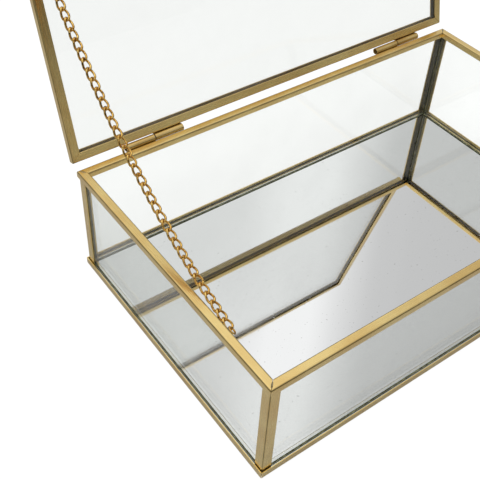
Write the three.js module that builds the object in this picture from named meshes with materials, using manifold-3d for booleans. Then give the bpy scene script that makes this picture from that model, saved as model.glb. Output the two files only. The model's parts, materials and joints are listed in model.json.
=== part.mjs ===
// Glass jewelry box with a brass frame, a mirror floor, a hinged glass lid and a stay chain.
// Millimetres, +Z up. The origin is the middle of the underside. -Y is the front, the hinges
// are on +Y and -X is the chain's side. The lid is drawn open, leaning back on its chain.

import * as THREE from "three";
import { mergeVertices } from "three/addons/utils/BufferGeometryUtils.js";
import Module from "manifold-3d";

const wasm = await Module();
wasm.setup();

// Driving dimensions of the closed box
const WIDTH = 220;
const DEPTH = 135;
const BODY_HEIGHT = 56;
const LID_THICKNESS = 3.8;
const LID_OPEN_ANGLE = 105;

// Sheet stock
const STRIP = 0.5;
const GLASS = 2.0;
const MIRROR = 1.5;
const FIT_GAP = 0.1;
const PLAY = 0.3;

// Brass strip widths
const TOP_RAIL_WIDTH = 4.0;
const TOP_RAIL_SIDE = 3.1;
const TOP_RAIL_LIP = 2.8;
const POST_WIDTH = 4.5;
const BASE_RAIL_HEIGHT = 3.8;
const BASE_RAIL_FLOOR = 3.5;
const BASE_OVERHANG = 0.3;
const BEND_RADIUS = 0.7;

// Hinges
const HINGE_RADIUS = 1.6;
const PIN_RADIUS = 0.55;
const PIN_HOLE_RADIUS = 0.62;
const HINGE_AXIS_BEHIND = 1.75;
const HINGE_AXIS_ABOVE = 0.15;
const HINGE_LENGTH = 29.4;
const HINGE_RING_GAP = 0.5;
const HINGE_LEFT_X = -70.5;
const HINGE_RIGHT_X = 77;
const LEAF_THICKNESS = 0.4;
const LEAF_BOX_DROP = 2.4;
const LEAF_LID_REACH = 2.4;
const HINGE_SIDES = 28;

// Stay chain
const CHAIN_FROM_LEFT = 6.2;
const CHAIN_LENGTH = 158.8;
const CHAIN_SEGMENTS = 20;
const CHAIN_RADIUS = 0.75;
const CHAIN_JOINT_GAP = 0.85;
const CHAIN_EYELET_GAP = 2.3;
const CHAIN_SIDES = 8;
const CHAIN_CAP_RINGS = 3;
const EYELET_RING_RADIUS = 1.55;
const EYELET_WIRE_RADIUS = 0.4;
const BOX_EYELET_FROM_FRONT = 31.5;
const BOX_EYELET_BELOW_TOP = 3.0;
const LID_EYELET_FROM_AXIS = 90;
const LID_EYELET_DROP = 1.2;

// Places worked out from the dimensions above
const HALF_WIDTH = WIDTH / 2;
const HALF_DEPTH = DEPTH / 2;
const HINGE_Y = HALF_DEPTH + HINGE_AXIS_BEHIND;
const HINGE_Z = BODY_HEIGHT + HINGE_AXIS_ABOVE;
const POST_INSET = STRIP + FIT_GAP;
const GLASS_INSET = POST_INSET + STRIP + FIT_GAP;
const MIRROR_TOP = STRIP + FIT_GAP + MIRROR;
const WALL_BOTTOM = MIRROR_TOP + FIT_GAP;
const WALL_TOP = BODY_HEIGHT - STRIP - FIT_GAP;
const CHAIN_X = -HALF_WIDTH + CHAIN_FROM_LEFT;
const BOX_EYELET = { y: -HALF_DEPTH + BOX_EYELET_FROM_FRONT, z: BODY_HEIGHT - BOX_EYELET_BELOW_TOP };
const DEG = Math.PI / 180;

const brass = () => new THREE.MeshStandardMaterial({ color: "#d8bd7c", metalness: 1, roughness: 0.32 });
const gold = () => new THREE.MeshStandardMaterial({ color: "#dba540", metalness: 1, roughness: 0.28 });
const steel = () => new THREE.MeshStandardMaterial({ color: "#9a948a", metalness: 1, roughness: 0.4 });
const mirror = () => new THREE.MeshStandardMaterial({ color: "#dfe3e2", metalness: 1, roughness: 0.03 });
const felt = () => new THREE.MeshStandardMaterial({ color: "#20201f", metalness: 0, roughness: 0.95 });
const glass = () =>
  new THREE.MeshStandardMaterial({ color: "#eaf3ee", roughness: 0.04, transparent: true, opacity: 0.35 });

// Boolean work: a closed three.js geometry becomes a manifold solid, and comes back again

function toSolid(geometry) {
  const bare = geometry.index ? geometry.toNonIndexed() : geometry.clone();
  bare.deleteAttribute("normal");
  bare.deleteAttribute("uv");
  const merged = mergeVertices(bare, 1e-4);
  const vertProperties = new Float32Array(merged.attributes.position.array);
  const triVerts = new Uint32Array(merged.index.array);
  return new wasm.Manifold(new wasm.Mesh({ numProp: 3, vertProperties, triVerts }));
}

function toGeometry(solid) {
  const data = solid.getMesh();
  const geometry = new THREE.BufferGeometry();
  geometry.setAttribute("position", new THREE.BufferAttribute(data.vertProperties.slice(), 3));
  geometry.setIndex(new THREE.BufferAttribute(data.triVerts.slice(), 1));
  geometry.computeVertexNormals();
  return geometry;
}

function placed(geometry, x, y, z) {
  return geometry.clone().translate(x, y, z);
}

function boxBetween(low, high) {
  const size = high.map((value, axis) => value - low[axis]);
  const middle = high.map((value, axis) => (value + low[axis]) / 2);
  return placed(new THREE.BoxGeometry(...size), ...middle);
}

function named(name, geometry, material) {
  const mesh = new THREE.Mesh(geometry, material);
  mesh.name = name;
  return mesh;
}

// Strip sections. A section is drawn in (across, up) with across = 0 on the outer face,
// growing inward, and is swept along a straight side of the frame.

function sectionShape(points) {
  const shape = new THREE.Shape();
  points.forEach(([across, up], index) => {
    if (index === 0) shape.moveTo(across, up);
    else shape.lineTo(across, up);
  });
  shape.closePath();
  return shape;
}

/** Points of a quarter bend about (across, up), from one angle to the next in degrees. */
function bend(across, up, radius, fromAngle, toAngle) {
  const steps = 3;
  return Array.from({ length: steps + 1 }, (_, step) => {
    const angle = (fromAngle + ((toAngle - fromAngle) * step) / steps) * DEG;
    return [across + radius * Math.cos(angle), up + radius * Math.sin(angle)];
  });
}

/** A cap strip: outer side, flat top with rounded bends, and a short inner lip. */
function capSection(width, side, lip, top) {
  const inner = BEND_RADIUS - STRIP;
  return sectionShape([
    [0, top - side],
    ...bend(BEND_RADIUS, top - BEND_RADIUS, BEND_RADIUS, 180, 90),
    ...bend(width - BEND_RADIUS, top - BEND_RADIUS, BEND_RADIUS, 90, 0),
    [width, top - lip],
    [width - STRIP, top - lip],
    ...bend(width - BEND_RADIUS, top - BEND_RADIUS, inner, 0, 90),
    ...bend(BEND_RADIUS, top - BEND_RADIUS, inner, 90, 180),
    [STRIP, top - side],
  ]);
}

/** The base angle: outer side and an inward floor flange under the mirror. */
function baseSection(height, floor) {
  const inner = BEND_RADIUS - STRIP;
  return sectionShape([
    [0, height],
    ...bend(BEND_RADIUS, BEND_RADIUS, BEND_RADIUS, 180, 270),
    [floor, 0],
    [floor, STRIP],
    ...bend(BEND_RADIUS, BEND_RADIUS, inner, 270, 180),
    [STRIP, height],
  ]);
}

/** The lid's channel: outer side with two flanges that hold the pane between them. */
function channelSection(width, height) {
  const inner = BEND_RADIUS - STRIP;
  return sectionShape([
    [width, 0],
    [width, STRIP],
    ...bend(BEND_RADIUS, BEND_RADIUS, inner, 270, 180),
    ...bend(BEND_RADIUS, height - BEND_RADIUS, inner, 180, 90),
    [width, height - STRIP],
    [width, height],
    ...bend(BEND_RADIUS, height - BEND_RADIUS, BEND_RADIUS, 90, 180),
    ...bend(BEND_RADIUS, BEND_RADIUS, BEND_RADIUS, 180, 270),
  ]);
}

/** A prism that keeps one side of a rectangular frame, cut at 45 degrees at both ends. */
function mitreKeeper(length) {
  const reach = 12;
  const trim = FIT_GAP;
  const half = length / 2;
  const outline = sectionShape([
    [-half - reach + trim, -reach],
    [half + reach - trim, -reach],
    [half - reach - trim, reach],
    [-half + reach + trim, reach],
  ]);
  const prism = new THREE.ExtrudeGeometry(outline, { depth: BODY_HEIGHT + 2, bevelEnabled: false });
  return toSolid(prism.translate(0, 0, -1));
}

/** One mitred strip: its outer face on y = 0, running along x, growing towards +y. */
function mitredStrip(section, length) {
  const straight = new THREE.ExtrudeGeometry(section, { depth: length, bevelEnabled: false });
  // The section's (across, up) become (y, z), and the sweep becomes x
  const basis = new THREE.Matrix4().makeBasis(
    new THREE.Vector3(0, 1, 0),
    new THREE.Vector3(0, 0, 1),
    new THREE.Vector3(1, 0, 0),
  );
  straight.applyMatrix4(basis).translate(-length / 2, 0, 0);
  return toGeometry(toSolid(straight).intersect(mitreKeeper(length)));
}

const SIDES = [
  { side: "front", turn: 0, along: "x" },
  { side: "right", turn: 90, along: "y" },
  { side: "rear", turn: 180, along: "x" },
  { side: "left", turn: 270, along: "y" },
];

/** Four mitred strips round a frame of the given outer size. */
function frameOfStrips(prefix, section, width, depth, material) {
  return SIDES.map(({ side, turn, along }) => {
    const length = along === "x" ? width : depth;
    const outward = (along === "x" ? depth : width) / 2;
    const geometry = mitredStrip(section, length);
    geometry.translate(0, -outward, 0).rotateZ(turn * DEG);
    return named(`${prefix}_${side}`, geometry, material());
  });
}

// The box

function makeTopRails() {
  const section = capSection(TOP_RAIL_WIDTH, TOP_RAIL_SIDE, TOP_RAIL_LIP, BODY_HEIGHT);
  return frameOfStrips("top_rail", section, WIDTH, DEPTH, brass);
}

function makeBaseRails() {
  const section = baseSection(BASE_RAIL_HEIGHT, BASE_RAIL_FLOOR);
  return frameOfStrips("base_rail", section, WIDTH + 2 * BASE_OVERHANG, DEPTH + 2 * BASE_OVERHANG, brass);
}

function makeMirrorAndBacking() {
  const mirrorX = HALF_WIDTH + BASE_OVERHANG - STRIP - PLAY;
  const mirrorY = HALF_DEPTH + BASE_OVERHANG - STRIP - PLAY;
  const feltX = HALF_WIDTH + BASE_OVERHANG - BASE_RAIL_FLOOR - PLAY;
  const feltY = HALF_DEPTH + BASE_OVERHANG - BASE_RAIL_FLOOR - PLAY;
  const bottom = MIRROR_TOP - MIRROR;
  return [
    named("mirror_base", boxBetween([-mirrorX, -mirrorY, bottom], [mirrorX, mirrorY, MIRROR_TOP]), mirror()),
    named("base_backing", boxBetween([-feltX, -feltY, 0], [feltX, feltY, STRIP]), felt()),
  ];
}

/** The front and rear panes run between the posts; the side panes stand between them. */
function makeWallGlass() {
  const x = HALF_WIDTH - GLASS_INSET;
  const y = HALF_DEPTH - GLASS_INSET;
  const longPane = (outer, inner) => boxBetween([-x, Math.min(outer, inner), WALL_BOTTOM],
    [x, Math.max(outer, inner), WALL_TOP]);
  const sideEnd = y - GLASS - FIT_GAP;
  const sidePane = (outer, inner) => boxBetween([Math.min(outer, inner), -sideEnd, WALL_BOTTOM],
    [Math.max(outer, inner), sideEnd, WALL_TOP]);
  return [
    named("glass_front", longPane(-y, -y + GLASS), glass()),
    named("glass_rear", longPane(y, y - GLASS), glass()),
    named("glass_left", sidePane(-x, -x + GLASS), glass()),
    named("glass_right", sidePane(x, x - GLASS), glass()),
  ];
}

/** An angle strip with a rounded outer bend, standing in one corner. */
function postGeometry() {
  const inner = BEND_RADIUS - STRIP;
  const outline = sectionShape([
    [0, POST_WIDTH],
    ...bend(BEND_RADIUS, BEND_RADIUS, BEND_RADIUS, 180, 270),
    [POST_WIDTH, 0],
    [POST_WIDTH, STRIP],
    ...bend(BEND_RADIUS, BEND_RADIUS, inner, 270, 180),
    [STRIP, POST_WIDTH],
  ]);
  return new THREE.ExtrudeGeometry(outline, { depth: WALL_TOP - WALL_BOTTOM, bevelEnabled: false });
}

const CORNERS = [
  { name: "front_left", x: -1, y: -1, turn: 0 },
  { name: "front_right", x: 1, y: -1, turn: 90 },
  { name: "rear_right", x: 1, y: 1, turn: 180 },
  { name: "rear_left", x: -1, y: 1, turn: 270 },
];

function makePosts() {
  return CORNERS.map(({ name, x, y, turn }) => {
    const post = postGeometry().rotateZ(turn * DEG);
    post.translate(x * (HALF_WIDTH - POST_INSET), y * (HALF_DEPTH - POST_INSET), WALL_BOTTOM);
    return named(`corner_post_${name}`, post, brass());
  });
}

// The lid, drawn closed: y = 0 and z = 0 on the hinge axis, growing towards -y

const LID_BOTTOM = FIT_GAP + 0.05;

function makeLidRails() {
  const section = channelSection(TOP_RAIL_WIDTH, LID_THICKNESS);
  const rails = frameOfStrips("lid_rail", section, WIDTH, DEPTH, brass);
  rails.forEach((rail) => rail.geometry.translate(0, -HINGE_Y, LID_BOTTOM));
  return rails;
}

function makeLidGlass() {
  const inset = STRIP + PLAY;
  const x = HALF_WIDTH - inset;
  const y = HALF_DEPTH - inset;
  const middle = LID_BOTTOM + LID_THICKNESS / 2;
  const pane = boxBetween([-x, -y, middle - GLASS / 2], [x, y, middle + GLASS / 2]);
  return named("lid_glass", pane.translate(0, -HINGE_Y, 0), glass());
}

// Hinges

/** A round bar along x, from one x to another, on the hinge axis. */
function barAlongX(radius, fromX, toX) {
  const bar = new THREE.CylinderGeometry(radius, radius, toX - fromX, HINGE_SIDES);
  return bar.rotateZ(Math.PI / 2).translate((fromX + toX) / 2, 0, 0);
}

/** A rolled knuckle with its leaf. direction turns the leaf down for the box, or forward for the lid. */
function knuckle(fromX, toX, leafLow, leafHigh) {
  const hole = toSolid(barAlongX(PIN_HOLE_RADIUS, fromX - 1, toX + 1));
  const leaf = boxBetween([fromX, ...leafLow], [toX, ...leafHigh]);
  return toGeometry(toSolid(barAlongX(HINGE_RADIUS, fromX, toX)).add(toSolid(leaf)).subtract(hole));
}

/** The box-side leaf lies on the rear of the top rail, below the axis. */
function boxKnuckle(fromX, toX) {
  const railFace = -HINGE_AXIS_BEHIND + FIT_GAP;
  const low = [railFace, -LEAF_BOX_DROP];
  const high = [railFace + LEAF_THICKNESS, -HINGE_RADIUS / 2];
  return knuckle(fromX, toX, low, high);
}

/** The lid-side leaf lies on the rear of the lid rail, above the axis when closed. */
function lidKnuckle(fromX, toX) {
  const railFace = -HINGE_AXIS_BEHIND + FIT_GAP;
  const low = [railFace, HINGE_RADIUS / 2];
  const high = [railFace + LEAF_THICKNESS, LEAF_LID_REACH];
  return knuckle(fromX, toX, low, high);
}

const HINGES = [
  { name: "left", x: HINGE_LEFT_X },
  { name: "right", x: HINGE_RIGHT_X },
];

function makeBoxHingeParts() {
  const meshes = [];
  for (const { name, x } of HINGES) {
    const ring = x - HINGE_RING_GAP / 2;
    const start = x - HINGE_LENGTH / 2;
    const end = x + HINGE_LENGTH / 2;
    meshes.push(named(`hinge_knuckle_box_${name}`, boxKnuckle(start, ring), brass()));
    meshes.push(named(`hinge_pin_${name}`, barAlongX(PIN_RADIUS, start + 1, end - 1), steel()));
  }
  return meshes;
}

function makeLidHingeParts() {
  return HINGES.map(({ name, x }) => {
    const ring = x + HINGE_RING_GAP / 2;
    const end = x + HINGE_LENGTH / 2;
    return named(`hinge_knuckle_lid_${name}`, lidKnuckle(ring, end), brass());
  });
}

// The stay chain

function eyelet() {
  const ring = new THREE.TorusGeometry(EYELET_RING_RADIUS, EYELET_WIRE_RADIUS, 8, 20);
  return ring.rotateX(Math.PI / 2);
}

/** A closed round-ended bar along +y between two heights: one stretch of chain links. */
function chainBar(from, to) {
  const nose = Array.from({ length: CHAIN_CAP_RINGS + 1 }, (_, ring) => {
    const angle = (ring / CHAIN_CAP_RINGS) * (Math.PI / 2);
    return { radius: CHAIN_RADIUS * Math.sin(angle), along: CHAIN_RADIUS * (1 - Math.cos(angle)) };
  });
  const profile = [
    ...nose.map(({ radius, along }) => new THREE.Vector2(radius, from + along)),
    ...nose.reverse().map(({ radius, along }) => new THREE.Vector2(radius, to - along)),
  ];
  return new THREE.LatheGeometry(profile, CHAIN_SIDES);
}

/** The lid eyelet's place (y, z) when the lid stands open. */
function lidEyeletPlace() {
  const angle = LID_OPEN_ANGLE * DEG;
  const along = new THREE.Vector2(-Math.cos(angle), Math.sin(angle)).multiplyScalar(LID_EYELET_FROM_AXIS);
  const drop = new THREE.Vector2(Math.sin(angle), Math.cos(angle)).multiplyScalar(LID_EYELET_DROP);
  return { y: HINGE_Y + along.x - drop.x, z: HINGE_Z + along.y - drop.y };
}

/** The hanging curve's parameter for a cord of the chain's length over the given span and rise. */
function catenaryParameter(span, rise) {
  const flatLength = Math.sqrt(CHAIN_LENGTH ** 2 - rise ** 2);
  let low = span / 20;
  let high = span * 200;
  for (let step = 0; step < 80; step += 1) {
    const middle = (low + high) / 2;
    if (2 * middle * Math.sinh(span / (2 * middle)) > flatLength) low = middle;
    else high = middle;
  }
  return (low + high) / 2;
}

/** Points of the chain at rest, a little slack between the two eyelets, as a hanging curve. */
function chainRoute() {
  const top = lidEyeletPlace();
  const span = top.y - BOX_EYELET.y;
  const rise = top.z - BOX_EYELET.z;
  const a = catenaryParameter(span, rise);
  const lowest = (BOX_EYELET.y + top.y) / 2 - a * Math.asinh(rise / (2 * a * Math.sinh(span / (2 * a))));
  const startArc = a * Math.sinh((BOX_EYELET.y - lowest) / a);
  const startHeight = a * Math.cosh((BOX_EYELET.y - lowest) / a);
  return Array.from({ length: CHAIN_SEGMENTS + 1 }, (_, index) => {
    const arc = startArc + (CHAIN_LENGTH * index) / CHAIN_SEGMENTS;
    const y = lowest + a * Math.asinh(arc / a);
    return new THREE.Vector3(CHAIN_X, y, BOX_EYELET.z + a * Math.cosh((y - lowest) / a) - startHeight);
  });
}

function makeChain() {
  const route = chainRoute();
  return route.slice(0, -1).map((from, index) => {
    const to = route[index + 1];
    const startGap = index === 0 ? CHAIN_EYELET_GAP : CHAIN_JOINT_GAP;
    const endGap = index === CHAIN_SEGMENTS - 1 ? CHAIN_EYELET_GAP : CHAIN_JOINT_GAP;
    const number = String(index + 1).padStart(2, "0");
    const bar = named(`chain_segment_${number}`, chainBar(startGap, from.distanceTo(to) - endGap), gold());
    bar.position.copy(from);
    bar.rotation.x = Math.atan2(to.z - from.z, to.y - from.y);
    return bar;
  });
}

function makeBoxEyelet() {
  return named("eyelet_box", placed(eyelet(), CHAIN_X, BOX_EYELET.y, BOX_EYELET.z), gold());
}

function makeLidEyelet() {
  return named("eyelet_lid", placed(eyelet(), CHAIN_X, -LID_EYELET_FROM_AXIS, -LID_EYELET_DROP), gold());
}

// Assembly

function makeBox() {
  const group = new THREE.Group();
  group.add(...makeMirrorAndBacking(), ...makeBaseRails(), ...makePosts());
  group.add(...makeWallGlass(), ...makeTopRails(), makeBoxEyelet());
  const hinges = new THREE.Group();
  hinges.add(...makeBoxHingeParts());
  hinges.position.set(0, HINGE_Y, HINGE_Z);
  group.add(hinges);
  return group;
}

function makeLid() {
  const lid = new THREE.Group();
  lid.add(makeLidGlass(), ...makeLidRails(), ...makeLidHingeParts(), makeLidEyelet());
  lid.position.set(0, HINGE_Y, HINGE_Z);
  lid.rotation.x = -LID_OPEN_ANGLE * DEG;
  return lid;
}

const jewelryBox = new THREE.Group();
jewelryBox.add(makeBox(), makeLid(), ...makeChain());

export default jewelryBox;
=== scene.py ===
"""Looks for a glass jewelry box with a brass frame, a mirror floor and a chain-stayed lid.

Every size is in metres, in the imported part's own frame: +Z up, -Y the front, the chain on -X.
"""

from __future__ import annotations

import json
import logging
import math
from dataclasses import dataclass, field
from enum import Enum
from typing import Callable, Iterable, Sequence

import bmesh
import bpy
from mathutils import Matrix, Vector, noise


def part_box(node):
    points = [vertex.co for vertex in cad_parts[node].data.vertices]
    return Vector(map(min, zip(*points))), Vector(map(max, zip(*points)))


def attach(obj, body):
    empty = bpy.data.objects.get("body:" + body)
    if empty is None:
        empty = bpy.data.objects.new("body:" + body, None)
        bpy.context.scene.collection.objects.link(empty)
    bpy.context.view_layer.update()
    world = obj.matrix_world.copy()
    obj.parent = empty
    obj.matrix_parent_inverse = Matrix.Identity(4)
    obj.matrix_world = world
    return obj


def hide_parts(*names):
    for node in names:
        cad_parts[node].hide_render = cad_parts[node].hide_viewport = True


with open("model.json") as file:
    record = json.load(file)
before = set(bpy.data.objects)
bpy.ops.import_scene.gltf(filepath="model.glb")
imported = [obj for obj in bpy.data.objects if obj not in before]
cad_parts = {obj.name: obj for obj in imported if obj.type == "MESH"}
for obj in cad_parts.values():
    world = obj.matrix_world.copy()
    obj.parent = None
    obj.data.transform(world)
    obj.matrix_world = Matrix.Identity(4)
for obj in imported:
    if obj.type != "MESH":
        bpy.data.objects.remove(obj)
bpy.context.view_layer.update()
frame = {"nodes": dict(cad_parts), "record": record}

LOG = logging.getLogger("jewelry_box")

MM = 0.001

Section = list[tuple[float, float]]


class Side(Enum):
    """The four sides of a rectangular frame: (name, turn in degrees, does it run along X)."""

    FRONT = ("front", 0, True)
    RIGHT = ("right", 90, False)
    REAR = ("rear", 180, True)
    LEFT = ("left", 270, False)

    @property
    def label(self) -> str:
        """The side's name as the part spells it."""
        return self.value[0]

    @property
    def turn(self) -> Matrix:
        """The turn about Z that brings a front strip to this side."""
        return Matrix.Rotation(math.radians(self.value[1]), 4, "Z")

    @property
    def along_x(self) -> bool:
        """True for the two long sides."""
        return self.value[2]


class Corner(Enum):
    """The four corners: (name, x sign, y sign, turn in degrees)."""

    FRONT_LEFT = ("front_left", -1, -1, 0)
    FRONT_RIGHT = ("front_right", 1, -1, 90)
    REAR_RIGHT = ("rear_right", 1, 1, 180)
    REAR_LEFT = ("rear_left", -1, 1, 270)


# Colours and nodes


def hex_to_linear(code: str) -> tuple[float, float, float, float]:
    """Turns an sRGB hex colour into Blender's linear RGBA.

    Args:
        code: Six hex digits, with or without a leading hash.

    Returns:
        Linear red, green and blue with an alpha of 1.
    """
    digits = code.lstrip("#")
    channels = [int(digits[at : at + 2], 16) / 255 for at in (0, 2, 4)]
    red, green, blue = (
        value / 12.92 if value <= 0.04045 else ((value + 0.055) / 1.055) ** 2.4
        for value in channels
    )
    return red, green, blue, 1.0


def add_node(
    tree: bpy.types.NodeTree, kind: str, sockets: dict | None = None, **settings: object
) -> bpy.types.Node:
    """Adds one shader node with its settings, values and links.

    Args:
        tree: The node tree to add it to.
        kind: The node's type name.
        sockets: Input name or index to either a value or an output socket to link from.
        settings: Attributes to set on the node itself.

    Returns:
        The new node.
    """
    made = tree.nodes.new(kind)
    for name, value in settings.items():
        setattr(made, name, value)
    for name, value in (sockets or {}).items():
        target = made.inputs[name]
        if isinstance(value, bpy.types.NodeSocket):
            tree.links.new(value, target)
        else:
            target.default_value = value
    return made


def ramp_stops(ramp_node: bpy.types.Node, stops: Sequence[tuple[float, tuple]]) -> None:
    """Sets a colour ramp's stops.

    Args:
        ramp_node: A colour ramp node.
        stops: (position, linear RGBA) pairs, lowest position first.
    """
    elements = ramp_node.color_ramp.elements
    while len(elements) > 1:
        elements.remove(elements[-1])
    elements[0].position, elements[0].color = stops[0]
    for position, colour in stops[1:]:
        elements.new(position).color = colour


def grey(level: float) -> tuple[float, float, float, float]:
    """A linear grey as RGBA."""
    return level, level, level, 1.0


@dataclass(frozen=True)
class Finish:
    """A surface finish: its material's name. Subclasses add what the surface is."""

    name: str

    def make(self) -> bpy.types.Material:
        """Makes the material with an output node, then dresses it."""
        material = bpy.data.materials.new(self.name)
        material.use_nodes = True
        tree = material.node_tree
        tree.nodes.clear()
        surface = self.dress(tree)
        add_node(tree, "ShaderNodeOutputMaterial", {"Surface": surface})
        return material

    def dress(self, tree: bpy.types.NodeTree) -> bpy.types.NodeSocket:
        """Builds the surface shader and returns its output. Each finish has its own."""
        raise NotImplementedError

    def speckle(
        self,
        tree: bpy.types.NodeTree,
        size_mm: float,
        low: float,
        high: float,
        detail: float = 2.0,
    ) -> bpy.types.NodeSocket:
        """Adds a soft noise mask whose blotches are about size_mm across.

        Args:
            tree: The node tree.
            size_mm: Distance between blotches in millimetres.
            low: Noise value that becomes 0.
            high: Noise value that becomes 1.
            detail: Octaves of the noise.

        Returns:
            A socket from 0 to 1.
        """
        place = add_node(tree, "ShaderNodeTexCoord")
        cloud = add_node(
            tree,
            "ShaderNodeTexNoise",
            {"Vector": place.outputs["Object"], "Scale": 1 / (size_mm * MM), "Detail": detail},
        )
        mask = add_node(
            tree,
            "ShaderNodeMapRange",
            {"Value": cloud.outputs["Fac"], "From Min": low, "From Max": high},
        )
        return mask.outputs["Result"]

    def blend(
        self,
        tree: bpy.types.NodeTree,
        factor: bpy.types.NodeSocket | float,
        first: bpy.types.NodeSocket | tuple,
        second: bpy.types.NodeSocket | tuple,
    ) -> bpy.types.NodeSocket:
        """Mixes two colours.

        Args:
            tree: The node tree.
            factor: 0 gives the first colour and 1 the second.
            first: A colour or a socket.
            second: A colour or a socket.

        Returns:
            The mixed colour's socket.
        """
        mixer = add_node(
            tree, "ShaderNodeMix", {0: factor, 6: first, 7: second}, data_type="RGBA"
        )
        return mixer.outputs[2]


@dataclass(frozen=True)
class LacqueredBrass(Finish):
    """Lacquered yellow brass strip, rolled, slit and folded.

    Rolling leaves fine lines along the strip, so highlights stretch across it. Each bend carries a dark
    brown line: painted dark reflection of the rounded bend, with some tarnish where folding cracked
    the lacquer. Handling leaves faint cloudy marks.
    """

    pale: str = "F8DC92"
    deep: str = "ECC87C"
    # Colour of the dark line along the bends: painted dark reflection of the rounded bend, with some
    # tarnish
    bend_shade_and_tarnish: str = "241B0C"
    solder_stain: str = "A98A4E"
    roughness: float = 0.25
    line_spacing_mm: float = 0.16
    cloud_mm: float = 16.0
    pit_mm: float = 0.7
    wave_mm: float = 22.0
    # How dark and how patchy the painted dark bend line is
    bend_shade_and_tarnish_strength: float = 0.85
    bend_shade_and_tarnish_mm: float = 6.0
    line_length_mm: float = 40.0
    lacquer: float = 0.6
    lacquer_roughness: float = 0.22

    def dress(self, tree: bpy.types.NodeTree) -> bpy.types.NodeSocket:
        """Rolled lines, cloudy lacquer, a dark line of painted reflection and tarnish in the bends, and
        a few pits.
        """
        cloud = self.speckle(tree, self.cloud_mm, 0.35, 0.68, 3.0)
        metal = self.blend(tree, cloud, hex_to_linear(self.pale), hex_to_linear(self.deep))
        pits = self.speckle(tree, self.pit_mm, 0.77, 0.83, 1.0)
        metal = self.blend(tree, pits, metal, hex_to_linear(self.solder_stain))
        # The bends get a dark line broken into patches: painted dark reflection with some tarnish; the
        # node named worn holds its mask
        bend = add_node(tree, "ShaderNodeAttribute", attribute_name="bend")
        broken = self.speckle(tree, self.bend_shade_and_tarnish_mm, -0.35, 0.55, 2.0)
        worn = add_node(
            tree,
            "ShaderNodeMath",
            {0: bend.outputs["Fac"], 1: broken},
            operation="MULTIPLY",
        )
        darkness = add_node(
            tree,
            "ShaderNodeMath",
            {0: worn.outputs[0], 1: self.bend_shade_and_tarnish_strength},
            operation="MULTIPLY",
            use_clamp=True,
        )
        colour = self.blend(tree, darkness.outputs[0], metal, hex_to_linear(self.bend_shade_and_tarnish))
        sheet = add_node(tree, "ShaderNodeUVMap", uv_map="Strip")
        # The real lines are finer than 0.05 mm; they are drawn three times coarser so that they show
        drawn = add_node(
            tree,
            "ShaderNodeMapping",
            {
                "Vector": sheet.outputs["UV"],
                "Scale": (
                    1 / (self.line_length_mm * MM),
                    1 / (self.line_spacing_mm * MM),
                    1.0,
                ),
            },
        )
        lines = add_node(
            tree,
            "ShaderNodeTexNoise",
            {"Vector": drawn.outputs["Vector"], "Scale": 1.0, "Detail": 2.0},
        )
        wave = self.speckle(tree, self.wave_mm, 0.0, 1.0, 2.0)
        rough = add_node(
            tree,
            "ShaderNodeMapRange",
            {
                "Value": lines.outputs["Fac"],
                "From Min": 0.25,
                "From Max": 0.75,
                "To Min": self.roughness - 0.06,
                "To Max": self.roughness + 0.10,
            },
        )
        duller = add_node(
            tree,
            "ShaderNodeMath",
            {0: darkness.outputs[0], 1: 0.25, 2: rough.outputs["Result"]},
            operation="MULTIPLY_ADD",
            use_clamp=True,
        )
        swell = add_node(
            tree, "ShaderNodeBump", {"Height": wave, "Strength": 1.0, "Distance": 0.05 * MM}
        )
        relief = add_node(
            tree,
            "ShaderNodeBump",
            {
                "Height": lines.outputs["Fac"],
                "Strength": 0.35,
                "Distance": 0.006 * MM,
                "Normal": swell.outputs["Normal"],
            },
        )
        shader = add_node(
            tree,
            "ShaderNodeBsdfPrincipled",
            {
                "Base Color": colour,
                "Metallic": 1.0,
                "Roughness": duller.outputs[0],
                "Normal": relief.outputs["Normal"],
                "Coat Weight": self.lacquer,
                "Coat Roughness": self.lacquer_roughness,
            },
        )
        return shader.outputs["BSDF"]


@dataclass(frozen=True)
class GiltWire(Finish):
    """Gilt brass wire, drawn, bent into links and plated: bright deep yellow, duller where it rubs."""

    bright: str = "FAD27A"
    worn: str = "D6A04C"
    # Dark brown for patches that are grime and painted shade of the recesses between links
    grime_and_shade: str = "4A300E"
    roughness: float = 0.13
    wear_mm: float = 1.1
    grime_and_shade_mm: float = 0.7

    def dress(self, tree: bpy.types.NodeTree) -> bpy.types.NodeSocket:
        """Plated colour that changes over single links, with dark patches of grime and painted shade
        laid at random.
        """
        wear = self.speckle(tree, self.wear_mm, 0.40, 0.66, 2.0)
        # Dark patches laid at random: grime, and painted shade standing in for the shade between the
        # links
        grime_and_shade = self.speckle(tree, self.grime_and_shade_mm, 0.54, 0.72, 1.0)
        colour = self.blend(tree, wear, hex_to_linear(self.bright), hex_to_linear(self.worn))
        colour = self.blend(tree, grime_and_shade, colour, hex_to_linear(self.grime_and_shade))
        rough = add_node(
            tree,
            "ShaderNodeMapRange",
            {"Value": wear, "To Min": self.roughness, "To Max": self.roughness + 0.16},
        )
        drawn = add_node(
            tree, "ShaderNodeBump", {"Height": wear, "Strength": 0.4, "Distance": 0.02 * MM}
        )
        shader = add_node(
            tree,
            "ShaderNodeBsdfPrincipled",
            {
                "Base Color": colour,
                "Metallic": 1.0,
                "Roughness": rough.outputs["Result"],
                "Normal": drawn.outputs["Normal"],
            },
        )
        return shader.outputs["BSDF"]


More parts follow.
